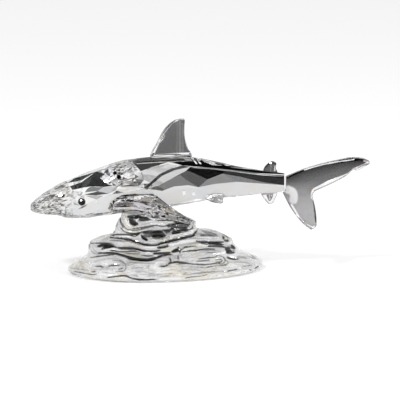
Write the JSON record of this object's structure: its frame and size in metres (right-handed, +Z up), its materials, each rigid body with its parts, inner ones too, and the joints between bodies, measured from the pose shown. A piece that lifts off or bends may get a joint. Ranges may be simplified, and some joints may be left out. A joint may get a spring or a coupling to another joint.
{
  "type": "crystal shark figurine",
  "caption": "Cut-crystal shark figurine that swims above a wave-worn clear rock base, for display on a shelf or in a cabinet.",
  "frame": {"origin": "centre of the base's flat underside", "axes": "+Z up, the shark's snout points to -X and its left side faces -Y"},
  "size_m": [0.1694, 0.0636, 0.0776],
  "materials": {
    "clear_crystal": "polished cut facets",
    "silver_shade_crystal": "polished, with a smoky silver coating",
    "pressed_crystal": "fire-polished flowing ledges",
    "jet": "glossy black"
  },
  "bodies": {
    "root": {"body": "clear_crystal", "dorsal_fin": "silver_shade_crystal", "second_dorsal_fin": "silver_shade_crystal", "anal_fin": "clear_crystal", "tail_fin": "silver_shade_crystal", "pectoral_fin_left": "clear_crystal", "pectoral_fin_right": "clear_crystal", "pelvic_fin_left": "clear_crystal", "pelvic_fin_right": "clear_crystal", "eye_left": "jet", "eye_right": "jet", "wave_base": "pressed_crystal"}
  },
  "joints": []
}
